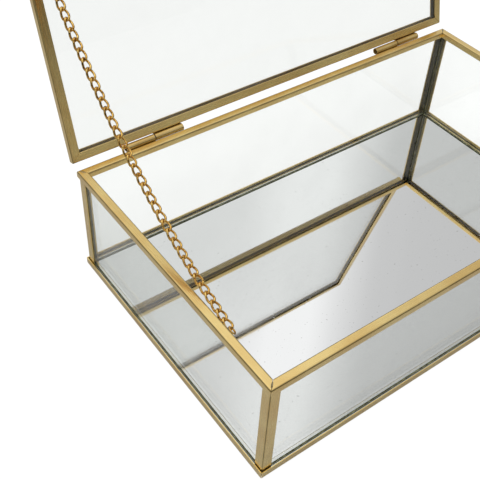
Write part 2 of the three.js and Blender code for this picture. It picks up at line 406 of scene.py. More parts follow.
@dataclass(frozen=True)
class DrawnSteel(Finish):
    """Mild steel wire, drawn and cut, then left bare: grey, with drawing rings and brown specks."""

    bare: str = "8E8980"
    rust: str = "5B4028"
    roughness: float = 0.36
    ring_mm: float = 0.4

    def dress(self, tree: bpy.types.NodeTree) -> bpy.types.NodeSocket:
        """Grey wire with drawing rings and specks."""
        rust = self.speckle(tree, self.ring_mm, 0.58, 0.72, 3.0)
        colour = self.blend(tree, rust, hex_to_linear(self.bare), hex_to_linear(self.rust))
        rough = add_node(
            tree,
            "ShaderNodeMapRange",
            {"Value": rust, "To Min": self.roughness, "To Max": self.roughness + 0.25},
        )
        drawn = add_node(
            tree, "ShaderNodeBump", {"Height": rust, "Strength": 0.3, "Distance": 0.02 * MM}
        )
        shader = add_node(
            tree,
            "ShaderNodeBsdfPrincipled",
            {
                "Base Color": colour,
                "Metallic": 1.0,
                "Roughness": rough.outputs["Result"],
                "Normal": drawn.outputs["Normal"],
            },
        )
        return shader.outputs["BSDF"]


@dataclass(frozen=True)
class ClearFloatGlass(Finish):
    """Clear float glass, 2 mm: mirror-smooth and nearly colourless, with a breath of dust.

    Wiping leaves faint marks, where the dust lies unevenly and the shine is a little softer.
    """

    tint: str = "FDFEFD"
    dust: str = "E2E3E2"
    ior: float = 1.5
    dust_amount: float = 0.03
    wipe_mm: float = 24.0

    def dress(self, tree: bpy.types.NodeTree) -> bpy.types.NodeSocket:
        """See-through sheet that reflects by angle, under a thin uneven film of dust."""
        clear = add_node(tree, "ShaderNodeBsdfTransparent", {"Color": hex_to_linear(self.tint)})
        facing = add_node(tree, "ShaderNodeLayerWeight", {"Blend": 0.5})
        grazing = add_node(
            tree, "ShaderNodeMath", {0: facing.outputs["Facing"], 1: 5.0}, operation="POWER"
        )
        # Reflection grows from its head-on value to nearly full at grazing, alike on both faces
        head_on = ((self.ior - 1) / (self.ior + 1)) ** 2
        angle = add_node(
            tree,
            "ShaderNodeMath",
            {0: grazing.outputs[0], 1: 1 - head_on, 2: head_on},
            operation="MULTIPLY_ADD",
        )
        smear = self.speckle(tree, self.wipe_mm, 0.35, 0.75, 4.0)
        rough = add_node(
            tree, "ShaderNodeMapRange", {"Value": smear, "To Min": 0.004, "To Max": 0.03}
        )
        shine = add_node(
            tree, "ShaderNodeBsdfAnisotropic", {"Color": grey(0.95), "Roughness": rough.outputs[0]}
        )
        pane = add_node(
            tree,
            "ShaderNodeMixShader",
            {0: angle.outputs[0], 1: clear.outputs["BSDF"], 2: shine.outputs["BSDF"]},
        )
        film = add_node(tree, "ShaderNodeBsdfDiffuse", {"Color": hex_to_linear(self.dust)})
        amount = add_node(
            tree,
            "ShaderNodeMapRange",
            {"Value": smear, "To Min": 0.4 * self.dust_amount, "To Max": 1.5 * self.dust_amount},
        )
        dusty = add_node(
            tree,
            "ShaderNodeMixShader",
            {0: amount.outputs[0], 1: pane.outputs["Shader"], 2: film.outputs["BSDF"]},
        )
        return dusty.outputs["Shader"]


@dataclass(frozen=True)
class SeamedGlassEdge(Finish):
    """The same glass at its cut edge, seamed with a fine stone: light gathers green-grey in it, and
    painted shade of the brass round it darkens it.
    """

    # The dark green-grey is the edge's own colour darkened with painted shade, that of the channels and
    # base strips that hold the panes
    green: str = "303116"
    light: str = "7A7D5C"
    roughness: float = 0.32
    chip_mm: float = 1.6

    def dress(self, tree: bpy.types.NodeTree) -> bpy.types.NodeSocket:
        """Green-grey ground edge, darkened with painted shade, lighter where it was chipped."""
        chips = self.speckle(tree, self.chip_mm, 0.45, 0.72, 3.0)
        colour = self.blend(tree, chips, hex_to_linear(self.green), hex_to_linear(self.light))
        ground = add_node(
            tree, "ShaderNodeBump", {"Height": chips, "Strength": 0.3, "Distance": 0.03 * MM}
        )
        body = add_node(
            tree,
            "ShaderNodeBsdfPrincipled",
            {
                "Base Color": colour,
                "Roughness": self.roughness,
                "IOR": 1.5,
                "Normal": ground.outputs["Normal"],
            },
        )
        through = add_node(
            tree, "ShaderNodeBsdfTransparent", {"Color": hex_to_linear(self.light)}
        )
        edge = add_node(
            tree,
            "ShaderNodeMixShader",
            {0: 0.7, 1: through.outputs["BSDF"], 2: body.outputs["BSDF"]},
        )
        return edge.outputs["Shader"]


@dataclass(frozen=True)
class SilveredMirror(Finish):
    """Float glass silvered on its back: a cool, slightly soft mirror with dust that settled on it."""

    silver: str = "F1F2F2"
    dust: str = "D6D7D6"
    speck_mm: float = 0.9
    haze_mm: float = 30.0

    def dress(self, tree: bpy.types.NodeTree) -> bpy.types.NodeSocket:
        """Silver with a little haze and a scatter of dust specks."""
        haze = self.speckle(tree, self.haze_mm, 0.35, 0.70, 3.0)
        specks = self.speckle(tree, self.speck_mm, 0.80, 0.84, 0.0)
        colour = self.blend(tree, specks, hex_to_linear(self.silver), hex_to_linear(self.dust))
        haze_rough = add_node(
            tree, "ShaderNodeMapRange", {"Value": haze, "To Min": 0.012, "To Max": 0.045}
        )
        rough = add_node(
            tree,
            "ShaderNodeMath",
            {0: specks, 1: 0.12, 2: haze_rough.outputs[0]},
            operation="MULTIPLY_ADD",
        )
        shader = add_node(
            tree,
            "ShaderNodeBsdfPrincipled",
            {"Base Color": colour, "Metallic": 1.0, "Roughness": rough.outputs[0]},
        )
        return shader.outputs["BSDF"]


@dataclass(frozen=True)
class NeedledFelt(Finish):
    """Black needled polyester felt: matt, with a soft halo of fibres and pale lint."""

    black: str = "17171A"
    lint: str = "3A3A3E"
    fibre_mm: float = 0.5
    tuft_mm: float = 2.2

    def dress(self, tree: bpy.types.NodeTree) -> bpy.types.NodeSocket:
        """Dark fibres at two scales with a sheen at grazing angles."""
        fibres = self.speckle(tree, self.fibre_mm, 0.30, 0.75, 4.0)
        tufts = self.speckle(tree, self.tuft_mm, 0.35, 0.70, 3.0)
        colour = self.blend(tree, fibres, hex_to_linear(self.black), hex_to_linear(self.lint))
        nap = add_node(
            tree, "ShaderNodeMath", {0: fibres, 1: tufts}, operation="ADD"
        )
        relief = add_node(
            tree,
            "ShaderNodeBump",
            {"Height": nap.outputs[0], "Strength": 0.7, "Distance": 0.12 * MM},
        )
        shader = add_node(
            tree,
            "ShaderNodeBsdfPrincipled",
            {
                "Base Color": colour,
                "Roughness": 0.95,
                "Sheen Weight": 0.5,
                "Sheen Roughness": 0.5,
                "Normal": relief.outputs["Normal"],
            },
        )
        return shader.outputs["BSDF"]


@dataclass(frozen=True)
class SoftSolder(Finish):
    """Tin solder, melted into the mitre and wiped: a dull uneven grey bead with flux on it."""

    tin: str = "A79C80"
    flux: str = "6B5530"
    roughness: float = 0.38
    crust_mm: float = 0.6

    def dress(self, tree: bpy.types.NodeTree) -> bpy.types.NodeSocket:
        """Grey metal with a crust of old flux."""
        crust = self.speckle(tree, self.crust_mm, 0.42, 0.70, 3.0)
        colour = self.blend(tree, crust, hex_to_linear(self.tin), hex_to_linear(self.flux))
        rough = add_node(
            tree,
            "ShaderNodeMapRange",
            {"Value": crust, "To Min": self.roughness, "To Max": self.roughness + 0.3},
        )
        relief = add_node(
            tree, "ShaderNodeBump", {"Height": crust, "Strength": 0.6, "Distance": 0.06 * MM}
        )
        shader = add_node(
            tree,
            "ShaderNodeBsdfPrincipled",
            {
                "Base Color": colour,
                "Metallic": 1.0,
                "Roughness": rough.outputs["Result"],
                "Normal": relief.outputs["Normal"],
            },
        )
        return shader.outputs["BSDF"]


@dataclass
class Workshop:
    """The finishes in use, each made once."""

    brass: bpy.types.Material = field(init=False)
    hinge_brass: bpy.types.Material = field(init=False)
    gilt: bpy.types.Material = field(init=False)
    steel: bpy.types.Material = field(init=False)
    glass: bpy.types.Material = field(init=False)
    lid_glass: bpy.types.Material = field(init=False)
    glass_edge: bpy.types.Material = field(init=False)
    mirror: bpy.types.Material = field(init=False)
    felt: bpy.types.Material = field(init=False)
    solder: bpy.types.Material = field(init=False)

    def __post_init__(self) -> None:
        """Makes every material."""
        self.brass = LacqueredBrass("lacquered_brass_strip").make()
        self.hinge_brass = LacqueredBrass(
            "lacquered_brass_hinge", pale="EBCC84", deep="D3AE64", roughness=0.24
        ).make()
        self.gilt = GiltWire("gilt_brass_wire").make()
        self.steel = DrawnSteel("drawn_steel_wire").make()
        self.glass = ClearFloatGlass("clear_float_glass").make()
        self.lid_glass = ClearFloatGlass("clear_float_glass_lid", tint="FAFBFA").make()
        self.glass_edge = SeamedGlassEdge("seamed_glass_edge").make()
        self.mirror = SilveredMirror("silvered_glass").make()
        self.felt = NeedledFelt("black_needled_felt").make()
        self.solder = SoftSolder("wiped_tin_solder").make()

    def dress_frame(self) -> None:
        """Gives every carried-over node the finish of its slot, so none shows a flat colour."""
        by_slot = {
            "frame_brass": self.brass,
            "hinge_brass": self.hinge_brass,
            "chain_gold": self.gilt,
            "pin_steel": self.steel,
            "glass": self.glass,
            "mirror": self.mirror,
            "felt": self.felt,
        }
        for part in frame["record"]["subparts"]:
            node = frame["nodes"].get(part["node"])
            if node is None:
                continue
            if not node.material_slots:
                node.data.materials.append(by_slot[part["material_slot"]])
            for slot in node.material_slots:
                slot.material = by_slot[part["material_slot"]]


# Meshes


def finish_object(
    name: str,
    shape: bmesh.types.BMesh,
    materials: Sequence[bpy.types.Material],
    sharp_degrees: float = 40.0,
) -> bpy.types.Object:
    """Turns a bmesh into a shaded object in the scene.

    Args:
        name: The piece's name.
        shape: The mesh to use; it is freed.
        materials: Its materials, in slot order.
        sharp_degrees: Edges sharper than this stay sharp.

    Returns:
        The new object.
    """
    bmesh.ops.recalc_face_normals(shape, faces=shape.faces)
    mesh = bpy.data.meshes.new(name)
    shape.to_mesh(mesh)
    shape.free()
    for material in materials:
        mesh.materials.append(material)
    mesh.polygons.foreach_set("use_smooth", [True] * len(mesh.polygons))
    mesh.set_sharp_from_angle(angle=math.radians(sharp_degrees))
    made = bpy.data.objects.new(name, mesh)
    bpy.context.scene.collection.objects.link(made)
    return made


def settle(
    piece: bpy.types.Object, body: str, replaced: Iterable[str] = ()
) -> bpy.types.Object:
    """Rides a piece on its body and what it stands for, and reports it.

    Args:
        piece: The piece.
        body: The body that it moves with.
        replaced: The CAD nodes that it stands for.

    Returns:
        The same piece.
    """
    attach(piece, body)
    nodes = list(replaced)
    if nodes:
        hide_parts(*nodes)
    LOG.info("%s rides on %s and stands for %s", piece.name, body, ", ".join(nodes) or "nothing")
    return piece


def soften_edges(piece: bpy.types.Object, width: float, limit_degrees: float = 50.0) -> None:
    """Rounds a piece's sharp edges.

    Args:
        piece: The piece.
        width: The bevel's width.
        limit_degrees: Only edges sharper than this are rounded.
    """
    bevel = piece.modifiers.new("soft_edges", "BEVEL")
    bevel.width = width
    bevel.segments = 2
    bevel.limit_method = "ANGLE"
    bevel.angle_limit = math.radians(limit_degrees)
    bevel.harden_normals = False


@dataclass(frozen=True)
class FoldedSheet:
    """A sheet-metal section: an open line of square corners, with a thickness and a bend radius.

    The line is the outer face, and the sheet's thickness grows to its right. Each bend has a short
    straight lead on both sides, as a share of its radius. The last field narrows the dark line of
    painted reflection and tarnish that the brass draws along each bend: a higher value makes it
    thinner.
    """

    corners: Section
    thickness: float
    radius: float
    steps: int = 8
    lead: float = 0.15
    bend_line_power: int = 7

    def faces(self) -> tuple[Section, Section, list[float]]:
        """Rounds both faces of the sheet.

        Returns:
            The outer face, the inner face and how much each point is in a bend, point for point.
        """
        points = [Vector(corner) for corner in self.corners]
        outer: Section = []
        inner: Section = []
        bend: list[float] = []

        def right_of(start: Vector, end: Vector) -> Vector:
            """The unit normal to the right of a line."""
            way = (end - start).normalized()
            return Vector((way.y, -way.x))

        def lay(point: Vector, offset: Vector, amount: float) -> None:
            """Adds one point to both faces."""
            outer.append((point.x, point.y))
            inner.append((point.x + offset.x, point.y + offset.y))
            bend.append(amount)

        lay(points[0], right_of(points[0], points[1]) * self.thickness, 0.0)
        for before, corner, after in zip(points, points[1:], points[2:]):
            first, second = right_of(before, corner), right_of(corner, after)
            way_in, way_out = (corner - before).normalized(), (after - corner).normalized()
            centre = corner - way_in * self.radius + first * self.radius
            lead = self.lead * self.radius
            lay(corner - way_in * (self.radius + lead), first * self.thickness, 0.0)
            for step in range(self.steps + 1):
                share = step / self.steps
                angle = share * math.pi / 2
                normal = (first * math.cos(angle) + second * math.sin(angle)).normalized()
                # How much of the painted dark line this point gets, most in the middle of the bend
                rounding = math.sin(share * math.pi) ** self.bend_line_power
                lay(centre - normal * self.radius, normal * self.thickness, rounding)
            lay(corner + way_out * (self.radius + lead), second * self.thickness, 0.0)
        lay(points[-1], right_of(points[-2], points[-1]) * self.thickness, 0.0)
        return outer, inner, bend


def sweep_sheet(
    outer: Section,
    inner: Section,
    bend: Sequence[float],
    stations: Sequence[float],
    place: Callable[[float, float, float], Vector],
) -> bmesh.types.BMesh:
    """Sweeps a sheet section along its stations and closes both ends.

    Args:
        outer: Points of the outer face.
        inner: Points of the inner face, one for each outer point.
        bend: How much each point is in a bend, from 0 to 1.
        stations: Positions along the sweep, lowest first.
        place: Maps (station, across, up) to a point in metres.

    Returns:
        A closed mesh with a "bend" attribute and a "Strip" UV map in metres.
    """
    shape = bmesh.new()
    # The bend layer marks where the brass paints its dark line: painted dark reflection with some
    # tarnish
    bend_shade_and_tarnish = shape.verts.layers.float.new("bend")
    sheet = shape.loops.layers.uv.new("Strip")
    loop = list(outer) + list(reversed(inner))
    levels = list(bend) + list(reversed(bend))
    walked = [0.0]
    for (across, up), (next_across, next_up) in zip(loop, loop[1:] + loop[:1]):
        walked.append(walked[-1] + math.hypot(next_across - across, next_up - up))
    rows = []
    for station in stations:
        row = []
        for (across, up), level in zip(loop, levels):
            vertex = shape.verts.new(place(station, across, up))
            vertex[bend_shade_and_tarnish] = level
            row.append(vertex)
        rows.append(row)
    count = len(loop)
    travel = [0.0]
    for row, next_row in zip(rows, rows[1:]):
        travel.append(travel[-1] + (next_row[0].co - row[0].co).length)
    for index, (row, next_row) in enumerate(zip(rows, rows[1:])):
        for at in range(count):
            after = (at + 1) % count
            face = shape.faces.new((row[at], row[after], next_row[after], next_row[at]))
            corners = (
                (travel[index], walked[at]),
                (travel[index], walked[at + 1]),
                (travel[index + 1], walked[at + 1]),
                (travel[index + 1], walked[at]),
            )
            for corner, spot in zip(face.loops, corners):
                corner[sheet].uv = spot
    half = len(outer)
    for row in (rows[0], rows[-1]):
        for at in range(half - 1):
            face = shape.faces.new((row[at], row[at + 1], row[count - 2 - at], row[count - 1 - at]))
            for corner in face.loops:
                corner[sheet].uv = (corner.vert.co.x + corner.vert.co.y, corner.vert.co.z)
    return shape


def closed_tube(
    centres: Sequence[Vector], radius: float, sides: int, shape: bmesh.types.BMesh
) -> None:
    """Adds a round wire along a closed loop of points to a mesh.

    Args:
        centres: The loop's points, without repeating the first.
        radius: The wire's radius.
        sides: Points round the wire.
        shape: The mesh to add to.
    """
    count = len(centres)
    middle = sum(centres, Vector()) / count
    rings = []
    for at, centre in enumerate(centres):
        tangent = (centres[(at + 1) % count] - centres[at - 1]).normalized()
        side = (centre - middle).cross(tangent)
        side.normalize()
        across = tangent.cross(side).normalized()
        ring = []
        for step in range(sides):
            angle = 2 * math.pi * step / sides
            offset = across * (math.cos(angle) * radius) + side * (math.sin(angle) * radius)
            ring.append(shape.verts.new(centre + offset))
        rings.append(ring)
    for at, ring in enumerate(rings):
        following = rings[(at + 1) % count]
        for step in range(sides):
            after = (step + 1) % sides
            shape.faces.new((ring[step], ring[after], following[after], following[step]))


def solder_bead(
    shape: bmesh.types.BMesh, centre: Vector, size: tuple[float, float, float], turn: float, seed: float
) -> None:
    """Adds one lumpy wiped bead to a mesh.

    Args:
        shape: The mesh to add to.
        centre: The bead's centre.
        size: Its half-sizes along its own length, width and height.
        turn: The turn of its length about Z, in radians.
        seed: Shifts the lumps, so that no two beads are alike.
    """
    made = bmesh.ops.create_icosphere(shape, subdivisions=3, radius=1.0)
    turned = Matrix.Rotation(turn, 3, "Z")
    for vertex in made["verts"]:
        lump = 1.0 + 0.22 * noise.noise(vertex.co * 1.7 + Vector((seed, seed * 0.7, seed * 1.9)))
        spot = Vector((vertex.co.x * size[0], vertex.co.y * size[1], vertex.co.z * size[2])) * lump
        vertex.co = centre + turned @ spot


def stations_between(low: float, high: float, spacing: float) -> list[float]:
    """Evenly spaced positions from low to high, no further apart than spacing."""
    count = max(1, math.ceil((high - low) / spacing))
    return [low + (high - low) * at / count for at in range(count + 1)]


# The object


@dataclass
class Proportions:
    """Sizes shared by the frames, in metres."""

    width: float = 220 * MM
    depth: float = 135 * MM
    body_height: float = 56 * MM
    strip: float = 0.5 * MM
    bend_radius: float = 0.8 * MM
    soft_radius: float = 0.85 * MM
    fit_gap: float = 0.1 * MM
    rail_width: float = 4.0 * MM
    edge_round: float = 0.09 * MM
    waviness: float = 0.035 * MM
    station_spacing: float = 5 * MM


@dataclass
class StripFrame:
    """Four folded strips, mitred at 45 degrees, that make one rectangular frame."""

    prefix: str
    piece_prefix: str
    sheet: FoldedSheet
    base_height: float
    sizes: Proportions
    body: str
    seed: float
    swing: Matrix = field(default_factory=lambda: Matrix.Identity(4))
    bead: tuple[float, float, float] = (1.5 * MM, 0.35 * MM, 0.12 * MM)
    bead_sink: float = 0.02 * MM

    def strip_mesh(self, side: Side) -> bmesh.types.BMesh:
        """Builds one strip, already in its place."""
        outer, inner, bend = self.sheet.faces()
        length = self.sizes.width if side.along_x else self.sizes.depth
        outward = (self.sizes.depth if side.along_x else self.sizes.width) / 2
        half = length / 2

        def place(station: float, across: float, up: float) -> Vector:
            """Puts a section point at a share of the strip's length, mitred at both ends."""
            reach = half - across - self.sizes.fit_gap
            along = station * reach
            fade = 1 - abs(station) ** 6
            probe = Vector((along * 55, self.seed + side.value[1], 0.0))
            drift = noise.noise(probe) * self.sizes.waviness * fade
            rise = noise.noise(probe + Vector((0, 7.3, 2.1))) * self.sizes.waviness * fade
            return Vector((along, -outward + across + drift, self.base_height + up + rise))

        spacing = self.sizes.station_spacing / half
        shape = sweep_sheet(outer, inner, bend, stations_between(-1.0, 1.0, spacing), place)
        bmesh.ops.transform(shape, matrix=self.swing @ side.turn, verts=shape.verts)
        return shape

    def build(self, workshop: Workshop) -> None:
        """Builds, dresses and places the four strips."""
        for side in Side:
            name = f"{self.piece_prefix}_{side.label}"
            piece = finish_object(name, self.strip_mesh(side), [workshop.brass])
            soften_edges(piece, self.sizes.edge_round)
            settle(piece, self.body, [f"{self.prefix}_{side.label}"])

    def corner_beads(self, workshop: Workshop, height: float) -> None:
        """Adds the wiped solder in the four mitres.

        Args:
            workshop: The finishes.
            height: Height of the strips' upper face over the frame's base.
        """
        inset = self.sizes.rail_width / 2
        shape = bmesh.new()
        for at, corner in enumerate(Corner):
            _, x_sign, y_sign, _ = corner.value
            spot = Vector(
                (
                    x_sign * (self.sizes.width / 2 - inset),
                    y_sign * (self.sizes.depth / 2 - inset),
                    self.base_height + height - self.bead_sink,
                )
            )
            turn = math.atan2(y_sign, x_sign)
            solder_bead(shape, spot, self.bead, turn, self.seed + at * 3.1)
        bmesh.ops.transform(shape, matrix=self.swing, verts=shape.verts)
        piece = finish_object(f"{self.piece_prefix}_solder", shape, [workshop.solder], 80)
        settle(piece, self.body)


@dataclass
class CornerPosts:
    """Four folded angle strips up the corners of the walls."""

    sizes: Proportions
    flange: float = 4.5 * MM
    inset: float = 0.6 * MM

    def build(self, workshop: Workshop) -> None:
        """Builds, dresses and places the four posts."""
        sheet = FoldedSheet(
            [(0.0, self.flange), (0.0, 0.0), (self.flange, 0.0)],
            self.sizes.strip,
            self.sizes.bend_radius,
        )
        for corner in Corner:
            label, x_sign, y_sign, turn = corner.value
            low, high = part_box(f"corner_post_{label}")
            outer, inner, bend = mirrored_sheet(sheet)
            turned = Matrix.Rotation(math.radians(turn), 4, "Z")
            foot = Vector(
                (
                    x_sign * (self.sizes.width / 2 - self.inset),
                    y_sign * (self.sizes.depth / 2 - self.inset),
                    0.0,
                )
            )

            def place(station: float, across: float, along: float) -> Vector:
                """Puts a section point at a height on this post."""
                spot = turned @ Vector((across, along, station))
                return spot + foot

            heights = stations_between(low.z, high.z, self.sizes.station_spacing)
            shape = sweep_sheet(outer, inner, bend, heights, place)
            piece = finish_object(f"angle_post_{label}", shape, [workshop.brass])
            soften_edges(piece, self.sizes.edge_round)
            settle(piece, "box", [f"corner_post_{label}"])


def mirrored_sheet(sheet: FoldedSheet) -> tuple[Section, Section, list[float]]:
    """The faces of a sheet whose thickness grows to the left of its line, not to the right.

    Args:
        sheet: The sheet.

    Returns:
        The outer face, the inner face and the bends.
    """
    turned = FoldedSheet(
        [(-across, up) for across, up in sheet.corners],
        sheet.thickness,
        sheet.radius,
        sheet.steps,
    )
    outer, inner, bend = turned.faces()
    outer_back = [(-across, up) for across, up in outer]
    inner_back = [(-across, up) for across, up in inner]
    return outer_back, inner_back, bend


@dataclass
class GlassPane:
    """One flat pane in a CAD node's place, with seamed edges.

    Its lower edge shows the seamed finish over edge_share of the thickness, from its left, front or
    underside face, and clear glass over the rest: a sheet drawn without refraction would show that
    edge wider than real glass does.
    """

    node: str
    piece_name: str
    body: str
    swing: Matrix | None = None
    seam: float = 0.3 * MM
    edge_share: float = 0.45
    flat_degrees: float = 2.0

    def build(
        self,
        low: Vector,
        high: Vector,
        surface: bpy.types.Material,
        edge: bpy.types.Material,
        slot: str,
    ) -> None:
        """Builds the pane as a bevelled slab.

        Args:
            low: The pane's lowest corner, before any swing.
            high: The pane's highest corner, before any swing.
            surface: The finish of its two faces.
            edge: The finish of its edges.
            slot: Its slot in the record; not used.
        """
        size = high - low
        thin = min(range(3), key=lambda axis: size[axis])
        shape = bmesh.new()
        bmesh.ops.create_cube(shape, size=1.0)
        for vertex in shape.verts:
            vertex.co = Vector(
                (low[axis] + (vertex.co[axis] + 0.5) * size[axis] for axis in range(3))
            )
        bmesh.ops.bevel(
            shape, geom=list(shape.edges), offset=self.seam, segments=2, profile=0.6, affect="EDGES"
        )
        across = Vector([1.0 if axis == thin else 0.0 for axis in range(3)])
        edge_end = low[thin] + self.edge_share * size[thin]
        bmesh.ops.bisect_plane(
            shape,
            geom=list(shape.verts) + list(shape.edges) + list(shape.faces),
            plane_co=across * edge_end,
            plane_no=across,
        )
        shape.normal_update()
        for face in shape.faces:
            is_flat = abs(face.normal[thin]) > 0.99
            looks_down = face.normal.z < -0.3
            is_clear = looks_down and face.calc_center_median()[thin] > edge_end
            face.material_index = 0 if is_flat or is_clear else 1
        if self.swing is not None:
            bmesh.ops.transform(shape, matrix=self.swing, verts=shape.verts)
        piece = finish_object(self.piece_name, shape, [surface, edge], self.flat_degrees)
        settle(piece, self.body, [self.node])


@dataclass
class Floor:
    """The mirror floor and the felt sheet glued under it."""

    felt_nap: float = 0.06 * MM
    felt_spacing: float = 2.5 * MM

    def build(self, workshop: Workshop) -> None:
        """Builds the mirror and the felt."""
        low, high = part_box("mirror_base")
        GlassPane("mirror_base", "mirror_floor", "box").build(
            low, high, workshop.mirror, workshop.glass_edge, "mirror"
        )
        self.build_felt(workshop)

    def build_felt(self, workshop: Workshop) -> None:
        """Builds the felt: a thin sheet whose underside is uneven and whose edge is soft."""
        low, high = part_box("base_backing")
        shape = bmesh.new()
        columns = stations_between(low.x, high.x, self.felt_spacing)
        rows = stations_between(low.y, high.y, self.felt_spacing)
        grids = []
        for level in (low.z, high.z):
            grid = []
            for y in rows:
                line = []
                for x in columns:
                    rim = min(x - low.x, high.x - x, y - low.y, high.y - y)
                    nap = 0.0
                    if level == low.z:
                        nap = self.felt_nap * (0.5 + 0.5 * noise.noise(Vector((x, y, 0)) * 700))
                        nap += 0.12 * MM if rim < 0.2 * MM else 0.0
                    line.append(shape.verts.new((x, y, level + nap)))
                grid.append(line)
            grids.append(grid)
        under, over = grids
        last_row, last_column = len(rows) - 1, len(columns) - 1
        for grid in grids:
            for row in range(last_row):
                for column in range(last_column):
                    shape.faces.new(
                        (
                            grid[row][column],
                            grid[row][column + 1],
                            grid[row + 1][column + 1],
                            grid[row + 1][column],
                        )
                    )
        rim_path = [(0, column) for column in range(last_column)]
        rim_path += [(row, last_column) for row in range(last_row)]
        rim_path += [(last_row, column) for column in range(last_column, 0, -1)]
        rim_path += [(row, 0) for row in range(last_row, 0, -1)]
        for (row, column), (next_row, next_column) in zip(rim_path, rim_path[1:] + rim_path[:1]):
            shape.faces.new(
                (
                    under[row][column],
                    under[next_row][next_column],
                    over[next_row][next_column],
                    over[row][column],
                )
            )
        piece = finish_object("felt_backing", shape, [workshop.felt], 60)
        settle(piece, "box", ["base_backing"])


@dataclass
class Hinge:
    """One barrel hinge: two rolled knuckles on a headless pin."""

    label: str
    axis: Vector
    opened: Matrix
    barrel: float = 1.6 * MM
    wall: float = 0.4 * MM
    leaf_drop: float = 2.4 * MM
    leaf_reach: float = 2.4 * MM
    seam_degrees: float = 24.0
    pin_radius: float = 1.05 * MM
    pin_recess: float = 1.4 * MM
    pin_dome: float = 0.35 * MM
    pin_dome_steps: int = 5
    pin_sides: int = 24
    knuckle_turns: int = 40
    knuckle_spacing: float = 1.5 * MM
    edge_round: float = 0.07 * MM

    def rolled_section(self, leaf_end: float) -> tuple[Section, Section, list[float]]:
        """The section of one knuckle and its leaf about the axis.

        Args:
            leaf_end: Where the leaf ends, below the axis if negative.

        Returns:
            The outer face, the inner face and how much each point is in the roll's seam, where the
            brass paints a dark line of painted shade with some tarnish.
        """
        middle = self.barrel - self.wall / 2
        sign = 1.0 if leaf_end < 0 else -1.0
        sweep = math.radians(360 - self.seam_degrees) * sign
        line = [(Vector((-middle, leaf_end)), Vector((-1.0, 0.0)))]
        line.append((Vector((-middle, leaf_end * 0.5)), Vector((-1.0, 0.0))))
        for step in range(self.knuckle_turns + 1):
            angle = math.pi - sweep * step / self.knuckle_turns
            out = Vector((math.cos(angle), math.sin(angle)))
            line.append((out * middle, out))
        outer = [tuple(spot + out * self.wall / 2) for spot, out in line]
        inner = [tuple(spot - out * self.wall / 2) for spot, out in line]
        # The leaf's edge and the roll's seam get the brass's dark line: painted shade in the seam, with
        # some tarnish
        bend = [0.0] * len(line)
        bend[-1] = bend[0] = 0.8
        bend[1] = bend[2] = 0.35
        return outer, inner, bend

    def knuckle(
        self,
        workshop: Workshop,
        name: str,
        leaf_end: float,
        swing: Matrix,
        span: tuple[float, float],
    ) -> bpy.types.Object:
        """Builds one knuckle.

        Args:
            workshop: The finishes.
            name: The piece's name.
            leaf_end: Where its leaf ends, below the axis if negative.
            swing: The turn that takes it to its drawn place.
            span: The x values where it starts and ends.

        Returns:
            The knuckle, before it rides on anything.
        """
        outer, inner, bend = self.rolled_section(leaf_end)

        def place(station: float, across: float, up: float) -> Vector:
            """Puts a section point at x on the hinge's axis."""
            return Vector((station, self.axis.y + across, self.axis.z + up))

        stations = stations_between(*span, self.knuckle_spacing)
        shape = sweep_sheet(outer, inner, bend, stations, place)
        bmesh.ops.transform(shape, matrix=swing, verts=shape.verts)
        knuckle = finish_object(name, shape, [workshop.hinge_brass])
        soften_edges(knuckle, self.edge_round)
        return knuckle

    def build(self, workshop: Workshop) -> None:
        """Builds, dresses and places the hinge's three pieces."""
        box_node = f"hinge_knuckle_box_{self.label}"
        lid_node = f"hinge_knuckle_lid_{self.label}"
        pin_node = f"hinge_pin_{self.label}"
        box_low, box_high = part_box(box_node)
        lid_low, lid_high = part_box(lid_node)
        still = Matrix.Identity(4)
        lower = self.knuckle(
            workshop,
            f"rolled_knuckle_box_{self.label}",
            -self.leaf_drop,
            still,
            (box_low.x, box_high.x),
        )
        settle(lower, "box", [box_node])
        upper = self.knuckle(
            workshop,
            f"rolled_knuckle_lid_{self.label}",
            self.leaf_reach,
            self.opened,
            (lid_low.x, lid_high.x),
        )
        settle(upper, "lid", [lid_node])
        start, end = box_low.x + self.pin_recess, lid_high.x - self.pin_recess
        shape = self.pin_mesh(start, end)
        pin = finish_object(f"headless_pin_{self.label}", shape, [workshop.steel])
        settle(pin, "box", [pin_node])

    def pin_mesh(self, start: float, end: float) -> bmesh.types.BMesh:
        """Builds a pin with domed ends along the axis.

        Args:
            start: The x value where it starts.
            end: The x value where it ends.

        Returns:
            A closed mesh.
        """
        profile = []
        for step in range(self.pin_dome_steps + 1):
            angle = math.pi / 2 * step / self.pin_dome_steps
            profile.append((start + self.pin_dome * (1 - math.cos(angle)), math.sin(angle)))
        profile += [(end - (along - start), share) for along, share in reversed(profile)]
        shape = bmesh.new()
        sides = self.pin_sides
        rings = []
        for along, share in profile:
            if share < 1e-6:
                rings.append([shape.verts.new((along, self.axis.y, self.axis.z))])
                continue
            radius = self.pin_radius * share
            ring = []
            for side in range(sides):
                angle = 2 * math.pi * side / sides
                ring.append(
                    shape.verts.new(
                        (
                            along,
                            self.axis.y + radius * math.cos(angle),
                            self.axis.z + radius * math.sin(angle),
                        )
                    )
                )
            rings.append(ring)
        for ring, following in zip(rings, rings[1:]):
            for side in range(sides):
                after = (side + 1) % sides
                if len(ring) == 1:
                    shape.faces.new((ring[0], following[side], following[after]))
                elif len(following) == 1:
                    shape.faces.new((ring[side], ring[after], following[0]))
                else:
                    shape.faces.new((ring[side], ring[after], following[after], following[side]))
        return shape


